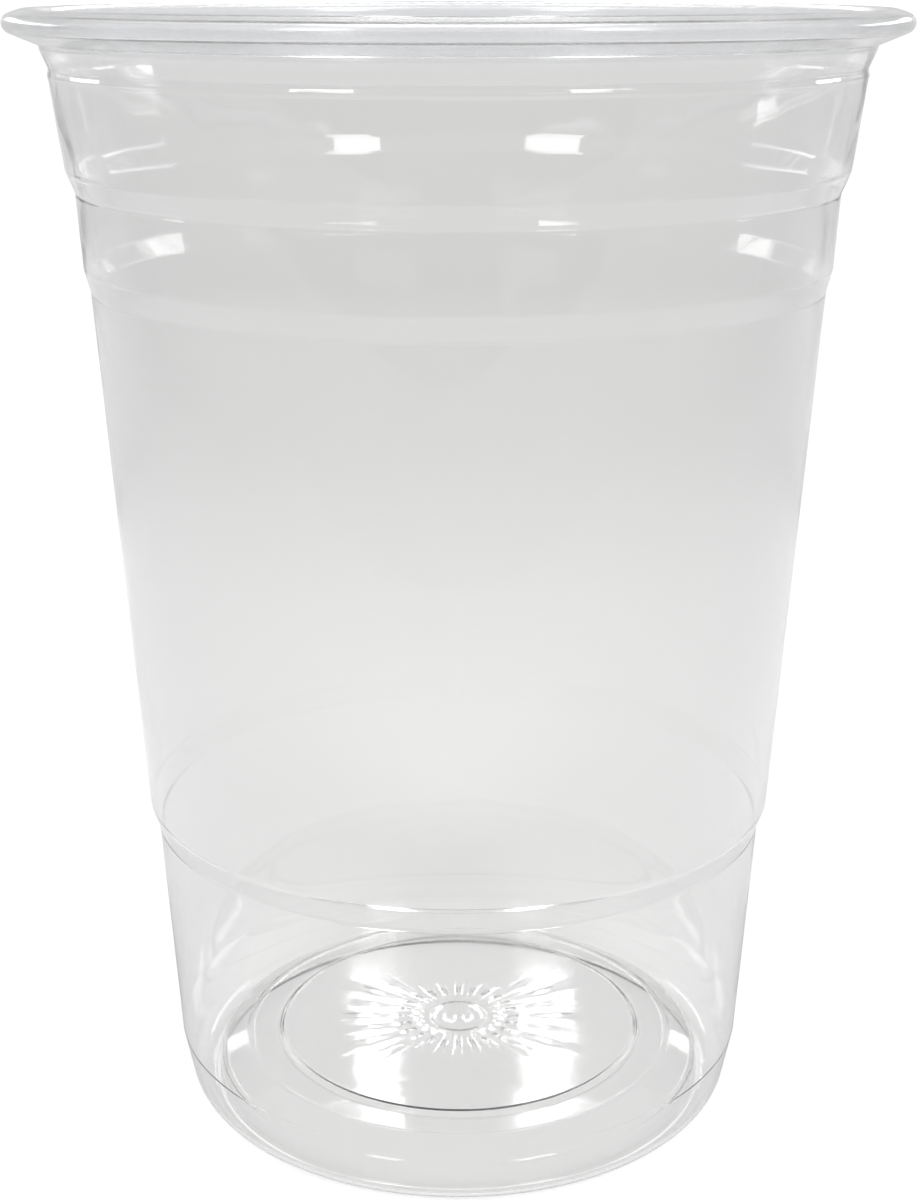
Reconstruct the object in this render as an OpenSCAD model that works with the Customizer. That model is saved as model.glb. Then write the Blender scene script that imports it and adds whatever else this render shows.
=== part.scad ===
// Clear plastic cup for cold drinks, formed in one piece from a thin sheet.
// The whole cup is one line, turned about the Z axis and given the sheet's thickness:
// a base pushed up above a foot ring, a tapered wall with three soft shoulders,
// a neck that a lid grips under, and a rim rolled outwards and back under itself.
// Millimetres, Z up. The origin is the centre of the foot ring, on the table.

/* [Overall] */
// Height from the table to the top of the rolled rim
cup_h = 121.5; // [112:0.5:140]
// Thickness of the sheet
wall_t = 0.35; // [0.25:0.05:0.5]
// Outside diameter of the wall where it turns into the heel
base_d = 64.2; // [62:0.2:67]

/* [Rolled rim] */
// Outside diameter of the rolled rim
rim_d = 95; // [94:0.5:98]
// Width of the roll, from the mouth to the nose
roll_w = 4; // [3.6:0.1:4.4]
// Width of the roll's level top, from the mouth to where it starts to slope down
top_w = 2.1; // [1.9:0.1:2.3]
// How far the roll's top slopes down on its way to the outer edge
top_drop = 0.65; // [0.4:0.05:0.65]
// Depth of the roll at its nose, before its edges are rounded
nose_h = 2.15; // [2.15:0.05:2.6]
// Depth of the roll where its free edge comes back to the neck
edge_h = 3.55; // [3.3:0.05:3.75]
// Gap between the roll's free edge and the neck
roll_gap = 0.3; // [0.2:0.05:0.5]
// Rounding at the mouth
mouth_r = 1.5; // [1.2:0.1:1.8]
// Rounding of the roll's top and upper outer edge
crown_r = 1; // [0.8:0.05:1.05]
// Rounding of the roll's lower outer edge
nose_r = 1.05; // [0.8:0.05:1.1]

/* [Neck and collar] */
// Depth of the straight mouth below the top of the rim
mouth_h = 4; // [3.7:0.1:5]
// Height of the neck that draws in under the mouth
neck_h = 2; // [1.6:0.1:2.6]
// How far the neck draws in on each side
neck_in = 0.85; // [0.6:0.05:1]
// Height of the straight collar below the neck
collar_h = 1.2; // [0.8:0.1:1.8]
// Rounding of the neck and the collar
neck_r = 0.6; // [0.5:0.05:0.8]

/* [Bands under the rim] */
// Height of the upper band
upper_band_h = 9.4; // [7:0.2:12]
// How far the upper band tapers in on each side
upper_band_in = 1.35; // [0.9:0.05:1.6]
// Height of the first shoulder
shoulder_h = 2.2; // [1.8:0.1:3]
// How far the first shoulder steps in on each side
shoulder_in = 0.9; // [0.6:0.05:1.1]
// Height of the lower band
lower_band_h = 8; // [6:0.2:12]
// Height of the second shoulder
second_h = 2.4; // [2:0.2:3.2]
// How far the second shoulder steps in on each side
second_in = 0.65; // [0.4:0.05:0.9]

/* [Lower wall and heel] */
// Height of the third shoulder's lower edge above the table
third_z = 32.5; // [26:0.5:38]
// Height of the third shoulder
third_h = 2.8; // [2.2:0.2:3.6]
// How far the third shoulder steps in on each side
third_in = 0.9; // [0.6:0.05:1.1]
// Rounding of the three shoulders
shoulder_r = 2.5; // [1.5:0.5:4]
// Height of the heel, from the table to where the wall turns in
heel_h = 7.2; // [6.2:0.1:9]
// How far the heel leans in on each side, before its lower edge is rounded
heel_in = 1.55; // [1.2:0.05:2]
// Rounding where the wall turns into the heel
heel_top_r = 10; // [3:1:14]
// Rounding of the heel's lower edge
heel_r = 2.8; // [2:0.1:2.9]

/* [Base] */
// Width of the foot ring between its two edges, before they are rounded
foot_w = 3.05; // [3:0.05:3.6]
// Rise of the foot ring's inner side
riser_h = 2.8; // [2.2:0.1:3.4]
// Lean of the foot ring's inner side
riser_in = 0.2; // [0.1:0.05:0.4]
// Width of the slope between the foot ring's inner side and the level part of the base
slope_w = 3; // [2.2:0.1:3.6]
// Rise of that slope
slope_h = 1.35; // [0.8:0.05:1.8]
// Width of the level ring between that slope and the raised disc in the middle
level_w = 3.45; // [2.5:0.05:6]
// Width of the disc's sloping edge
disc_edge_w = 0.5; // [0.4:0.05:1]
// Height of the disc's sloping edge
disc_edge_h = 0.5; // [0.3:0.05:0.8]
// Rounding of the foot ring's inner edge
foot_r = 0.5; // [0.5:0.05:0.6]
// Rounding of the other edges on the base
base_r = 0.6; // [0.5:0.05:0.7]

/* [Hidden] */
$fn = 180;
// Largest turn, in degrees, between neighbouring points of a rounded corner
arc_step = 12;

mouth_in = rim_d / 2 - roll_w;
collar_low = [mouth_in + wall_t - neck_in, cup_h - mouth_h - neck_h - collar_h];
first_low = collar_low - [upper_band_in + shoulder_in, upper_band_h + shoulder_h];
// The taper that brings the wall from the first shoulder down to the heel
taper = (first_low.x - second_in - third_in - base_d / 2)
    / (first_low.y - second_h - third_h - heel_h);
second_high = first_low - [taper * lower_band_h, lower_band_h];
third_high = [base_d / 2 + third_in + taper * (third_z - heel_h), third_z + third_h];
foot_out = base_d / 2 - heel_in;
foot_in = foot_out - foot_w;
slope_in = foot_in - riser_in - slope_w;
disc_low = [slope_in - level_w, riser_h + slope_h];
disc_high = disc_low + [-disc_edge_w, disc_edge_h];

// Outside of the wall from the middle of the base to the collar: [radius, height, rounding]
body_line = [
    [0, disc_high.y, 0],
    [disc_high.x, disc_high.y, base_r],
    [disc_low.x, disc_low.y, base_r],
    [slope_in, disc_low.y, base_r],
    [foot_in - riser_in, riser_h, base_r],
    [foot_in, 0, foot_r],
    [foot_out, 0, heel_r],
    [base_d / 2, heel_h, heel_top_r],
    [third_high.x - third_in, third_z, shoulder_r],
    [third_high.x, third_high.y, shoulder_r],
    [second_high.x - second_in, second_high.y - second_h, shoulder_r],
    [second_high.x, second_high.y, shoulder_r],
    [first_low.x, first_low.y, shoulder_r],
    [first_low.x + shoulder_in, first_low.y + shoulder_h, shoulder_r],
    [collar_low.x, collar_low.y, neck_r],
    [collar_low.x, collar_low.y + collar_h, neck_r]
];

// The rim's visible face, from the straight mouth over the top to the free edge
rim_face = [
    [mouth_in, cup_h - mouth_h, neck_r],
    [mouth_in, cup_h, mouth_r - wall_t],
    [mouth_in + top_w, cup_h, crown_r - wall_t],
    [rim_d / 2, cup_h - top_drop, crown_r - wall_t],
    [rim_d / 2, cup_h - nose_h, nose_r - wall_t],
    [mouth_in + wall_t + roll_gap, cup_h - edge_h, 0]
];

// Radius and height of a corner, without its rounding
function spot(corner) = [corner[0], corner[1]];

function unit(v) = v / norm(v);

function turned(v, angle) = [
    v.x * cos(angle) - v.y * sin(angle),
    v.x * sin(angle) + v.y * cos(angle)
];

// Points of the arc that rounds the corner b between a and c
function arc(a, b, c, r) =
    let (
        back = unit(a - b),
        on = unit(c - b),
        half = acos(back * on) / 2,
        centre = b + unit(back + on) * r / sin(half),
        first = b + back * r / tan(half) - centre,
        turn = (180 - 2 * half) * sign(cross(b - a, c - b)),
        steps = ceil(abs(turn) / arc_step)
    )
    [for (i = [0:steps]) centre + turned(first, turn * i / steps)];

// A line of corners with every rounding drawn as points
function rounded(line) = [
    for (i = [0:len(line) - 1])
        each line[i][2] > 0
            ? arc(spot(line[i - 1]), spot(line[i]), spot(line[i + 1]), line[i][2])
            : [spot(line[i])]
];

// Unit vector to the left of the way from p to q
function leftward(p, q) = turned(unit(q - p), 90);

// A line of points moved to its left by t, with every stretch kept parallel
function beside(points, t) =
    let (last = len(points) - 1)
    [
        for (i = [0:last])
            let (
                before = leftward(points[max(i - 1, 0)], points[max(i, 1)]),
                after = leftward(points[min(i, last - 1)], points[min(i + 1, last)])
            )
            points[i] + (before + after) * t / (1 + before * after)
    ];

// The rim's hidden face lies one sheet behind its visible one
rim_back = beside([for (corner = rim_face) spot(corner)], -wall_t);
rim_line = [for (i = [0:len(rim_face) - 1]) [rim_back[i].x, rim_back[i].y, rim_face[i][2]]];

// One side of the sheet from the middle of the base to the rim's free edge, and the other back
module sheet_profile() {
    outside = rounded(concat(body_line, rim_line));
    inside = beside(outside, wall_t);
    polygon(concat(outside, [for (i = [len(inside) - 1:-1:0]) inside[i]]));
}

module cup() {
    color([0.86, 0.9, 0.92, 0.5])
        rotate_extrude()
            sheet_profile();
}

cup();
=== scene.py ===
import math

import bmesh
import bpy
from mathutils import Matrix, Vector


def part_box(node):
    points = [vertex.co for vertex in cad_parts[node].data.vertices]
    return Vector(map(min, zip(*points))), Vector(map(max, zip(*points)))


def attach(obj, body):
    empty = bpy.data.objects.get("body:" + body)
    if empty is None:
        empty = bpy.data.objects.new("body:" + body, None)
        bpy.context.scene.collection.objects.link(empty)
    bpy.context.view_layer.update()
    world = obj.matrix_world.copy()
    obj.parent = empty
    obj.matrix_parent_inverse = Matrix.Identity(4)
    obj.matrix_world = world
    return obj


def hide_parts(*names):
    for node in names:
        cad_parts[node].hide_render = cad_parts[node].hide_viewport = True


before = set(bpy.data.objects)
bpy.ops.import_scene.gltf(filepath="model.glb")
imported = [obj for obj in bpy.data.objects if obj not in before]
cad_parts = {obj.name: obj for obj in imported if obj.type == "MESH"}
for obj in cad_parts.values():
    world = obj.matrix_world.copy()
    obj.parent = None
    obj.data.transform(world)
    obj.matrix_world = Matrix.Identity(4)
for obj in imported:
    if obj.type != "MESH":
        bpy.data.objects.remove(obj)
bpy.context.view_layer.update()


# Camera: close in front of the cup and a little above its rim, pitched down, in an upright frame.
# The principal point lies above the middle of the frame, so the frame is shifted down to match.
mm = 0.001
camera_distance = 221.8 * mm
camera_height = 125.2 * mm
camera_pitch = math.radians(12)
camera_lens = 61.65
frame_shift_down = 0.16

bpy.ops.object.camera_add(
    location=(0, -camera_distance, camera_height),
    rotation=(math.pi / 2 - camera_pitch, 0, 0),
)
camera = bpy.context.object
camera.name = "camera"
camera.data.lens = camera_lens
camera.data.shift_y = -frame_shift_down
camera.data.clip_start = 10 * mm
bpy.context.scene.camera = camera


# The cup: one sheet of clear plastic, heated and drawn into a mould, then rolled outwards at the rim.
# Both faces of the sheet are drawn as one line, with crisp corners on the mould's side and softer ones
# on the other, and spun about the axis. It stands on its own foot ring, and nothing is fixed to it.
cup_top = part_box("cup")[1]
rim_r = cup_top.x
rim_z = cup_top.z
sheet_t = 0.35 * mm

# Neck, collar and bands, from the mouth down
mouth_r, mouth_z = rim_r - 4 * mm, rim_z - 4 * mm
neck_r = mouth_r + sheet_t
collar_r, collar_z = neck_r - 0.85 * mm, mouth_z - 2 * mm
band_z = collar_z - 1.2 * mm
bead, bead_h = 0.13 * mm, 0.45 * mm
first_r, first_z = collar_r - 1.35 * mm, band_z - 9.4 * mm
first_low_r, first_low_z = first_r - 0.9 * mm, first_z - 2.2 * mm
lower_band_h = 8 * mm

# Lower wall and heel, and the taper that joins them to the bands
heel_r, heel_z = 32.1 * mm, 7.2 * mm
heel_ledge, heel_ledge_h = 0.06 * mm, 0.25 * mm
second_step, second_h = 0.65 * mm, 2.4 * mm
third_step, third_h = 0.9 * mm, 2.5 * mm
taper = (first_low_r - second_step - third_step - heel_r) / (first_low_z - second_h - third_h - heel_z)
second_r, second_z = first_low_r - taper * lower_band_h, first_low_z - lower_band_h
third_low_z = 32.3 * mm
third_low_r = heel_r + taper * (third_low_z - heel_z)

# Foot ring and base
foot_out_r = heel_r - 1.55 * mm
foot_in_r = foot_out_r - 3.05 * mm
riser_r, riser_z = foot_in_r - 0.2 * mm, 2.8 * mm
level_r, level_z = riser_r - 3 * mm, riser_z + 1.35 * mm
disc_low_r = level_r - 3.45 * mm
disc_r, disc_z = disc_low_r - 0.5 * mm, level_z + 0.5 * mm

# Rings across the flat middle of the base, between which its marks stand
nub_r, eye_r, eye_rim_r = 1.2 * mm, 3 * mm, 3.8 * mm
pad_in_r, pad_out_r = 5.6 * mm, 7.2 * mm
tally_in_r, tally_short_r, tally_out_r = 9 * mm, 11.6 * mm, 13.8 * mm

# Radius and height of each corner of the mould's side, and its roundings on that side and inside
wall_corners = [
    (0, disc_z, 0, 0),
    (nub_r, disc_z, 0, 0),
    (eye_r, disc_z, 0, 0),
    (eye_rim_r, disc_z, 0, 0),
    (pad_in_r, disc_z, 0, 0),
    (pad_out_r, disc_z, 0, 0),
    (tally_in_r, disc_z, 0, 0),
    (tally_short_r, disc_z, 0, 0),
    (tally_out_r, disc_z, 0, 0),
    (disc_r, disc_z, 0.2 * mm, 0.8 * mm),
    (disc_low_r, level_z, 0.2 * mm, 0.8 * mm),
    (level_r, level_z, 1.5 * mm, 2.5 * mm),
    (riser_r, riser_z, 0.6 * mm, 1 * mm),
    (foot_in_r, 0, 0.5 * mm, 0.3 * mm),
    (foot_out_r, 0, 2.8 * mm, 2.4 * mm),
    (heel_r - heel_ledge, heel_z - heel_ledge_h, 0.1 * mm, 0.4 * mm),
    (heel_r, heel_z, 0.1 * mm, 0.4 * mm),
    (third_low_r, third_low_z, 0.6 * mm, 3 * mm),
    (third_low_r + third_step, third_low_z + third_h, 0.6 * mm, 3 * mm),
    (second_r - second_step, second_z - second_h, 1 * mm, 3 * mm),
    (second_r, second_z, 1.5 * mm, 3 * mm),
    (first_low_r, first_low_z, 1 * mm, 3 * mm),
    (first_r, first_z, 1.5 * mm, 3 * mm),
    (collar_r, band_z, 0.4 * mm, 0.4 * mm),
    (collar_r + bead, band_z + bead_h, 0.4 * mm, 0.4 * mm),
    (collar_r, band_z + 2 * bead_h, 0.4 * mm, 0.4 * mm),
    (collar_r, collar_z, 0.3 * mm, 0.3 * mm),
]

# The roll's level top, its slope down to the nose, and the free edge that comes back to the neck
top_w, top_drop = 2.1 * mm, 0.65 * mm
nose_h = 2.15 * mm
edge_gap, edge_h = 0.3 * mm, 3.55 * mm

# The same for the side of the rim that shows, from the mouth over the top to the roll's free edge
rim_corners = [
    (mouth_r, mouth_z, 0.6 * mm, 0.6 * mm),
    (mouth_r, rim_z, 1.15 * mm, 1.5 * mm),
    (mouth_r + top_w, rim_z, 0.65 * mm, 1 * mm),
    (rim_r, rim_z - top_drop, 0.65 * mm, 1 * mm),
    (rim_r, rim_z - nose_h, 0.7 * mm, 1.05 * mm),
    (neck_r + edge_gap, rim_z - edge_h, 0, 0),
]


def beside(corners, distance):
    """The line of corners moved to its left by a distance, with every stretch kept parallel."""
    spots = [Vector(corner[:2]) for corner in corners]
    ways = [(there - here).normalized() for here, there in zip(spots, spots[1:])]
    lefts = [Vector((-way.y, way.x)) for way in ways]
    moved = []
    for spot, before, after, corner in zip(spots, lefts[:1] + lefts, lefts + lefts[-1:], corners):
        place = spot + (before + after) * distance / (1 + before.dot(after))
        moved.append((place.x, place.y, corner[2], corner[3]))
    return moved


def edit_mesh(piece):
    """The piece's mesh in edit mode, with nothing selected."""
    bpy.ops.mesh.select_all(action="DESELECT")
    return bmesh.from_edit_mesh(piece.data)


def draw_line(name, corners):
    """A new piece with one open line of corners on the plane of X and Z."""
    bpy.ops.object.select_all(action="DESELECT")
    bpy.ops.mesh.primitive_plane_add(size=mm, location=(corners[0][0], 0, corners[0][1]))
    piece = bpy.context.object
    piece.name = name
    bpy.ops.object.transform_apply(location=True, rotation=True, scale=True)
    bpy.ops.object.mode_set(mode="EDIT")
    bpy.ops.mesh.select_all(action="SELECT")
    bpy.ops.mesh.merge(type="CENTER")
    for here, there in zip(corners, corners[1:]):
        step = (there[0] - here[0], 0, there[1] - here[1])
        bpy.ops.mesh.extrude_region_move(TRANSFORM_OT_translate={"value": step})
    return piece


def round_corners(piece, corners, largest_turn):
    """Rounds the corners of a line, with no turn between neighbouring points larger than given."""
    for before, corner, after in zip(corners, corners[1:], corners[2:]):
        if not corner[2]:
            continue
        place = Vector((corner[0], 0, corner[1]))
        back = Vector((before[0], 0, before[1])) - place
        onward = Vector((after[0], 0, after[1])) - place
        opening = back.angle(onward)
        mesh = edit_mesh(piece)
        min(mesh.verts, key=lambda v: (v.co - place).length).select = True
        mesh.select_flush_mode()
        bpy.ops.mesh.bevel(
            offset=corner[2] / math.tan(opening / 2),
            segments=max(2, math.ceil(math.degrees(math.pi - opening) / largest_turn)),
            affect="VERTICES",
            clamp_overlap=False,
        )


mould_side = wall_corners + beside(rim_corners, -sheet_t)
inner_side = beside(mould_side, sheet_t)
sheet = [(r, z, rounding) for r, z, rounding, inner in mould_side]
sheet += [(r, z, inner) for r, z, rounding, inner in reversed(inner_side)]
cup = draw_line("clear_cup", sheet)
round_corners(cup, sheet, largest_turn=6)

# Long stretches are halved until the rings lie close enough for the sheet to wave
ring_gap = 4 * mm
for halving in range(4):
    mesh = edit_mesh(cup)
    for edge in mesh.edges:
        edge.select = edge.calc_length() > ring_gap
    bpy.ops.mesh.subdivide(number_cuts=1)
bpy.ops.mesh.select_all(action="SELECT")
bpy.ops.mesh.spin(steps=192, angle=2 * math.pi, center=(0, 0, 0), axis=(0, 0, 1))
bpy.ops.mesh.select_all(action="SELECT")
bpy.ops.mesh.remove_doubles(threshold=0.001 * mm)
bpy.ops.mesh.normals_make_consistent(inside=False)

# Plain relief in the middle of the base: a nub, an eye round it, a ring of pads, and a fan of tally
# marks on each side
mark_pitch = 15
half_fan = 50
mark_h, mark_slope = 0.06 * mm, 0.3 * mm


def is_marked(place):
    """Whether this place on the flat of the base belongs to a raised mark."""
    radius = math.hypot(place.x, place.y)
    if radius < nub_r or eye_r < radius < eye_rim_r:
        return True
    off_side = math.degrees(math.atan2(abs(place.y), abs(place.x)))
    number, part = divmod(off_side + mark_pitch / 4, mark_pitch)
    if part > mark_pitch / 2:
        return False
    reach = tally_short_r if number % 2 else tally_out_r
    on_tally = off_side < half_fan and tally_in_r < radius < reach
    return on_tally or pad_in_r < radius < pad_out_r


for face_z, rise in ((disc_z, -mark_h), (disc_z + sheet_t, mark_h)):
    mesh = edit_mesh(cup)
    for face in mesh.faces:
        middle = face.calc_center_median()
        on_flat = abs(middle.z - face_z) < 0.01 * mm and math.hypot(middle.x, middle.y) < tally_out_r
        face.select = on_flat and is_marked(middle)
    bpy.ops.mesh.inset(thickness=mark_slope, depth=rise)
bpy.ops.object.mode_set(mode="OBJECT")
bpy.ops.object.shade_smooth_by_angle(angle=math.radians(30))

# The drawn sheet is a little wavy: fully under the rim, less down the wall and on the base, and not at
# all on the foot ring and the rim
sheet_waves = bpy.data.textures.new("sheet waves", "CLOUDS")
sheet_waves.cloud_type = "COLOR"
sheet_waves.noise_scale = 9 * mm
sheet_waves.noise_depth = 1
foot_still_z, foot_wavy_z = 0.6 * mm, 3.6 * mm
rim_wavy_z = mouth_z - 4 * mm
wall_eases_z, wall_full_z = 80 * mm, 95 * mm
low_wall_share = 0.2
base_share, base_top_z = 0.25, 10 * mm


def ramp(z, start, end):
    """How far a height is on its way from one level to another, from 0 to 1."""
    return min(1, max(0, (z - start) / (end - start)))


drawn = cup.vertex_groups.new(name="drawn sheet")
for vertex in cup.data.vertices:
    z = vertex.co.z
    share = low_wall_share + (1 - low_wall_share) * ramp(z, wall_eases_z, wall_full_z)
    if z < base_top_z:
        share = base_share
    share *= ramp(z, foot_still_z, foot_wavy_z) * (1 - ramp(z, rim_wavy_z, mouth_z))
    drawn.add([vertex.index], share, "REPLACE")
waves = cup.modifiers.new("waves", "DISPLACE")
waves.texture = sheet_waves
waves.texture_coords = "LOCAL"
waves.direction = "RGB_TO_XYZ"
waves.vertex_group = "drawn sheet"
waves.strength = 0.22 * mm
waves.mid_level = 0.5
bpy.ops.object.modifier_apply(modifier="waves")
flats = cup.modifiers.new("flats", "WEIGHTED_NORMAL")
flats.weight = 100
flats.keep_sharp = True
bpy.ops.object.modifier_apply(modifier="flats")

# Clear plastic with a faint grey tint, and painted shade that deepens the grey where the sheet is seen
# edge-on, darkening its outlines. The rolled rim is clearer, faintly blue and slightly hazy. The gloss
# is a little uneven, and the drawn wall is faintly streaked upwards and ripples under the rim.
clear_plastic = bpy.data.materials.new("clear plastic")
clear_plastic.use_nodes = True
nodes = clear_plastic.node_tree.nodes
links = clear_plastic.node_tree.links
shader = nodes["Principled BSDF"]
shader.inputs["IOR"].default_value = 1.57
shader.inputs["Transmission Weight"].default_value = 1

place = nodes.new("ShaderNodeTexCoord")
height = nodes.new("ShaderNodeSeparateXYZ")
rolled = nodes.new("ShaderNodeMapRange")
rolled.interpolation_type = "SMOOTHSTEP"
rolled.inputs["From Min"].default_value = 116.5 * mm
rolled.inputs["From Max"].default_value = 118.5 * mm
links.new(place.outputs["Object"], height.inputs["Vector"])
links.new(height.outputs["Z"], rolled.inputs["Value"])

# Painted shade: the sheet's grey deepens towards its outlines, where it is seen edge-on
edge_on_painted_shade = nodes.new("ShaderNodeLayerWeight")
edge_on_painted_shade.inputs["Blend"].default_value = 0.25
tint_and_edge_shade = nodes.new("ShaderNodeMix")
tint_and_edge_shade.data_type = "RGBA"
tint_and_edge_shade.inputs["A"].default_value = (0.955, 0.954, 0.95, 1)
tint_and_edge_shade.inputs["B"].default_value = (0.885, 0.888, 0.895, 1)
rim_tint = nodes.new("ShaderNodeMix")
rim_tint.data_type = "RGBA"
rim_tint.inputs["B"].default_value = (0.986, 0.99, 1, 1)
links.new(edge_on_painted_shade.outputs["Facing"], tint_and_edge_shade.inputs["Factor"])
links.new(rolled.outputs["Result"], rim_tint.inputs["Factor"])
links.new(tint_and_edge_shade.outputs["Result"], rim_tint.inputs["A"])
links.new(rim_tint.outputs["Result"], shader.inputs["Base Color"])

patches = nodes.new("ShaderNodeTexNoise")
patches.inputs["Scale"].default_value = 90
patches.inputs["Detail"].default_value = 4
gloss = nodes.new("ShaderNodeMapRange")
gloss.inputs["From Min"].default_value = 0.35
gloss.inputs["From Max"].default_value = 0.7
gloss.inputs["To Min"].default_value = 0.015
gloss.inputs["To Max"].default_value = 0.05
haze = nodes.new("ShaderNodeMath")
haze.operation = "MULTIPLY_ADD"
haze.inputs[1].default_value = 0.11
links.new(place.outputs["Object"], patches.inputs["Vector"])
links.new(patches.outputs["Fac"], gloss.inputs["Value"])
links.new(rolled.outputs["Result"], haze.inputs[0])
links.new(gloss.outputs["Result"], haze.inputs[2])
links.new(haze.outputs["Value"], shader.inputs["Roughness"])

stretch = nodes.new("ShaderNodeMapping")
stretch.inputs["Scale"].default_value = (1, 1, 0.06)
streaks = nodes.new("ShaderNodeTexNoise")
streaks.inputs["Scale"].default_value = 260
streaks.inputs["Detail"].default_value = 2
links.new(place.outputs["Object"], stretch.inputs["Vector"])
links.new(stretch.outputs["Vector"], streaks.inputs["Vector"])

ripples = nodes.new("ShaderNodeTexNoise")
ripples.inputs["Scale"].default_value = 110
ripples.inputs["Detail"].default_value = 1
ripples.inputs["Distortion"].default_value = 0.6
under_rim = nodes.new("ShaderNodeMapRange")
under_rim.interpolation_type = "SMOOTHSTEP"
under_rim.inputs["From Min"].default_value = 88 * mm
under_rim.inputs["From Max"].default_value = 104 * mm
under_rim.inputs["To Min"].default_value = 0.03
under_rim.inputs["To Max"].default_value = 0.5
ripple_height = nodes.new("ShaderNodeMath")
ripple_height.operation = "MULTIPLY"
links.new(place.outputs["Object"], ripples.inputs["Vector"])
links.new(height.outputs["Z"], under_rim.inputs["Value"])
links.new(ripples.outputs["Fac"], ripple_height.inputs[0])
links.new(under_rim.outputs["Result"], ripple_height.inputs[1])

surface = nodes.new("ShaderNodeMath")
surface.operation = "MULTIPLY_ADD"
surface.inputs[1].default_value = 0.03
bump = nodes.new("ShaderNodeBump")
bump.inputs["Distance"].default_value = 0.1 * mm
links.new(streaks.outputs["Fac"], surface.inputs[0])
links.new(ripple_height.outputs["Value"], surface.inputs[2])
links.new(surface.outputs["Value"], bump.inputs["Height"])
links.new(bump.outputs["Normal"], shader.inputs["Normal"])
cup.data.materials.append(clear_plastic)

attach(cup, "root")
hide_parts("cup")


# Table and backdrop: one plain pale sheet that ends a little way in front of the cup and curves up
# behind it. It is white to the camera, and a shade greyer through the plastic, with painted light that
# brightens it towards and under the cup there. In the plastic's reflections it shows a painted pool of
# light round and behind the cup, with painted shade on the table close to the cup's foot. It keeps the
# cup's faint shadow.
table_front = 280 * mm
table_back = 600 * mm
table_half_w = 900 * mm
backdrop_h = 700 * mm
backdrop_curve = 100 * mm

pale = bpy.data.materials.new("pale table")
pale.use_nodes = True
nodes = pale.node_tree.nodes
links = pale.node_tree.links
nodes.remove(nodes["Principled BSDF"])
output = nodes["Material Output"]
light_path = nodes.new("ShaderNodeLightPath")
place = nodes.new("ShaderNodeTexCoord")
reach = nodes.new("ShaderNodeVectorMath")
reach.operation = "LENGTH"
spot = nodes.new("ShaderNodeSeparateXYZ")
links.new(place.outputs["Object"], reach.inputs[0])
links.new(place.outputs["Object"], spot.inputs["Vector"])


def fade(value, start, end, before, after):
    """A value that eases from one level to another as the given place goes from start to end."""
    node = nodes.new("ShaderNodeMapRange")
    node.interpolation_type = "SMOOTHSTEP"
    node.inputs["From Min"].default_value = start
    node.inputs["From Max"].default_value = end
    node.inputs["To Min"].default_value = before
    node.inputs["To Max"].default_value = after
    links.new(value, node.inputs["Value"])
    return node.outputs["Result"]


def combine(operation, first, second):
    """Two values put together by an operation. The second may be a plain number."""
    node = nodes.new("ShaderNodeMath")
    node.operation = operation
    links.new(first, node.inputs[0])
    if isinstance(second, float):
        node.inputs[1].default_value = second
    else:
        links.new(second, node.inputs[1])
    return node.outputs["Value"]


to_camera = light_path.outputs["Is Camera Ray"]
refracted = light_path.outputs["Is Transmission Ray"]
mirrored = combine("SUBTRACT", light_path.outputs["Is Glossy Ray"], refracted)
from_cup = reach.outputs["Value"]
white = 0.62
# Painted light and shade: seen through the plastic the table is brighter towards and under the cup,
# and in reflections it shows a painted pool of light round and behind the cup that is darker close to
# its foot
painted_light_under_cup = fade(from_cup, 20 * mm, 60 * mm, 0.2, 0)
through = combine("ADD", fade(from_cup, 60 * mm, 330 * mm, 0.36, 0.22), painted_light_under_cup)
painted_pool_near_cup = fade(from_cup, 200 * mm, 320 * mm, 0.5, 0)
painted_pool_behind_cup = fade(spot.outputs["Y"], 0, 250 * mm, 0, 0.28)
painted_shade_by_foot = fade(from_cup, 40 * mm, 100 * mm, -0.4, 0)
pool = combine("ADD", combine("MAXIMUM", painted_pool_near_cup, painted_pool_behind_cup), painted_shade_by_foot)
seen = combine("ADD", combine("MULTIPLY", to_camera, white), combine("MULTIPLY", refracted, through))
strength = combine("ADD", seen, combine("MULTIPLY", mirrored, pool))

glow = nodes.new("ShaderNodeEmission")
glow.inputs["Color"].default_value = (1, 1, 1, 1)
diffuse = nodes.new("ShaderNodeBsdfDiffuse")
diffuse.inputs["Color"].default_value = (0.8, 0.8, 0.8, 1)
both = nodes.new("ShaderNodeAddShader")
links.new(strength, glow.inputs["Strength"])
links.new(diffuse.outputs[0], both.inputs[0])
links.new(glow.outputs[0], both.inputs[1])
links.new(both.outputs[0], output.inputs["Surface"])

bpy.ops.object.select_all(action="DESELECT")
bpy.ops.mesh.primitive_plane_add(size=1, location=(0, (table_back - table_front) / 2, 0))
table = bpy.context.object
table.name = "table"
table.scale = (2 * table_half_w, table_front + table_back, 1)
bpy.ops.object.transform_apply(location=True, rotation=True, scale=True)
bpy.ops.object.mode_set(mode="EDIT")
mesh = edit_mesh(table)
for edge in mesh.edges:
    edge.select = all(v.co.y > table_back - mm for v in edge.verts)
bpy.ops.mesh.extrude_region_move(TRANSFORM_OT_translate={"value": (0, 0, backdrop_h)})
mesh = edit_mesh(table)
for edge in mesh.edges:
    edge.select = all(v.co.y > table_back - mm and v.co.z < mm for v in edge.verts)
bpy.ops.mesh.bevel(offset=backdrop_curve, segments=16)
bpy.ops.object.mode_set(mode="OBJECT")
bpy.ops.object.shade_smooth()
table.data.materials.append(pale)


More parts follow.
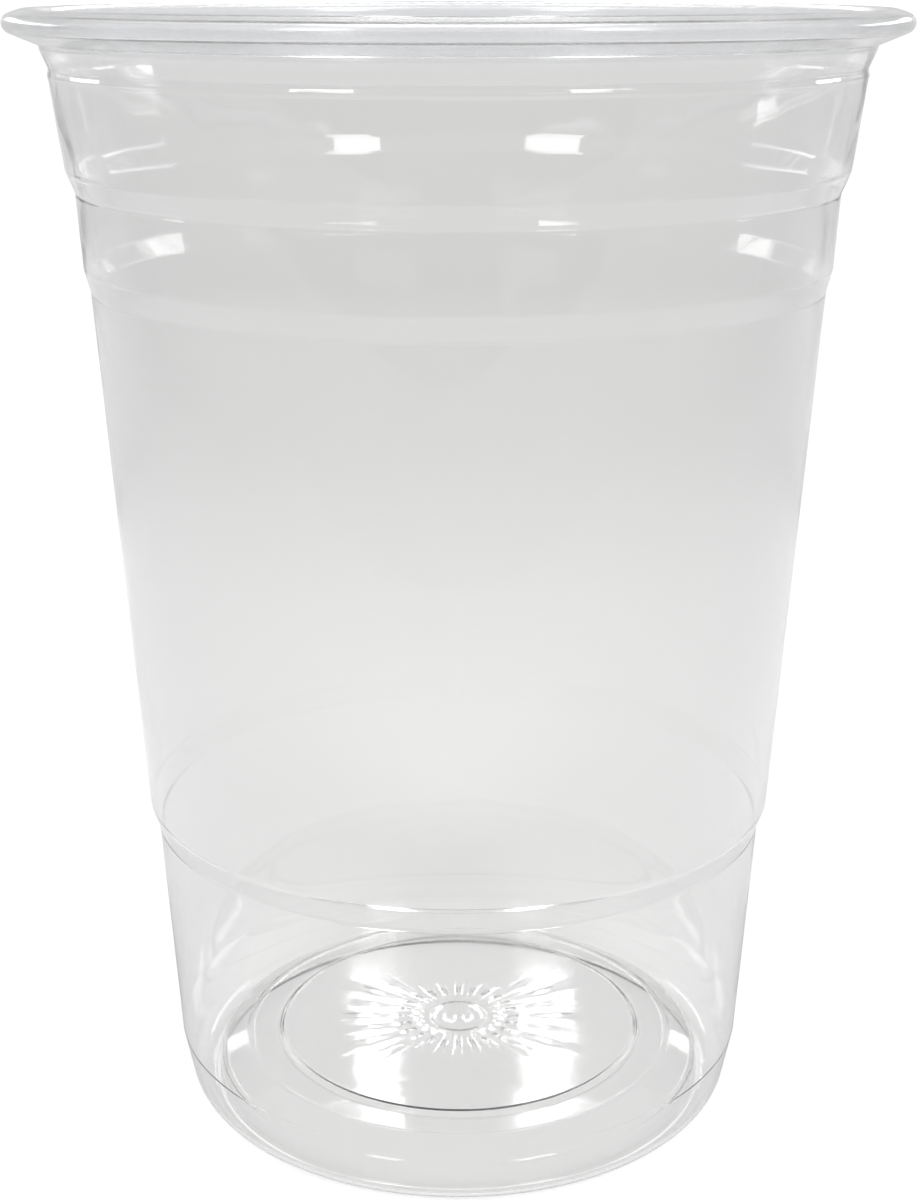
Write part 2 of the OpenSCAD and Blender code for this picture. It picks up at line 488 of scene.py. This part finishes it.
# Studio room: even white walls, grey as they light the cup and white behind it to the camera. They are
# brighter through the plastic, and in its reflections they get brighter from the table upwards.
studio = bpy.data.worlds.new("studio")
bpy.context.scene.world = studio
studio.use_nodes = True
nodes = studio.node_tree.nodes
links = studio.node_tree.links
background = nodes["Background"]
background.inputs["Color"].default_value = (1, 1, 1, 1)
light_path = nodes.new("ShaderNodeLightPath")
way = nodes.new("ShaderNodeTexCoord")
way_parts = nodes.new("ShaderNodeSeparateXYZ")
upwards = nodes.new("ShaderNodeMapRange")
upwards.inputs["From Min"].default_value = 0.15
upwards.inputs["From Max"].default_value = 0.6
upwards.inputs["To Min"].default_value = -0.05
upwards.inputs["To Max"].default_value = 0.2
links.new(way.outputs["Generated"], way_parts.inputs["Vector"])
links.new(way_parts.outputs["Z"], upwards.inputs["Value"])

wall_light = 0.5
in_gloss = combine("MULTIPLY", light_path.outputs["Is Glossy Ray"], upwards.outputs["Result"])
through_cup = combine("MULTIPLY", light_path.outputs["Is Transmission Ray"], 0.3)
to_camera = combine("MULTIPLY", light_path.outputs["Is Camera Ray"], 0.5)
seen = combine("ADD", combine("ADD", in_gloss, wall_light), through_cup)
links.new(combine("ADD", seen, to_camera), background.inputs["Strength"])


# Studio lights: soft boxes that face the middle of the cup and aren't seen by the camera. Two narrow
# strips high behind it draw the lines on its base, two tall boxes in front light its wall, and two
# low wide boxes beside and behind it brighten the slopes of its shoulders.
cup_middle = Vector((0, 0, 60 * mm))


def add_box(name, place, width, height, brightness):
    """A soft box that faces the middle of the cup, with the given brightness of its front."""
    bpy.ops.object.light_add(type="AREA", location=place)
    box = bpy.context.object
    box.name = name
    box.data.shape = "RECTANGLE"
    box.data.size = width
    box.data.size_y = height
    box.data.energy = brightness * math.pi * width * height
    box.rotation_mode = "QUATERNION"
    box.rotation_quaternion = (cup_middle - Vector(place)).to_track_quat("-Z", "Y")
    box.visible_camera = False


add_box("back strip left", (-37 * mm, 590 * mm, 335 * mm), 20 * mm, 190 * mm, 12)
add_box("back strip right", (40 * mm, 590 * mm, 335 * mm), 19 * mm, 190 * mm, 12)
add_box("front box left", (-356 * mm, -483 * mm, 500 * mm), 180 * mm, 290 * mm, 4.5)
add_box("front box right", (378 * mm, -466 * mm, 500 * mm), 200 * mm, 290 * mm, 4.5)
add_box("side box left", (-450 * mm, 380 * mm, 215 * mm), 420 * mm, 60 * mm, 4)
add_box("side box right", (450 * mm, 380 * mm, 215 * mm), 420 * mm, 60 * mm, 4)

bpy.context.scene.view_settings.view_transform = "Standard"

# Light runs on inside the clear sheet for as many turns as its rolled rim needs
bpy.context.scene.cycles.max_bounces = 20
bpy.context.scene.cycles.glossy_bounces = 16
bpy.context.scene.cycles.transmission_bounces = 20
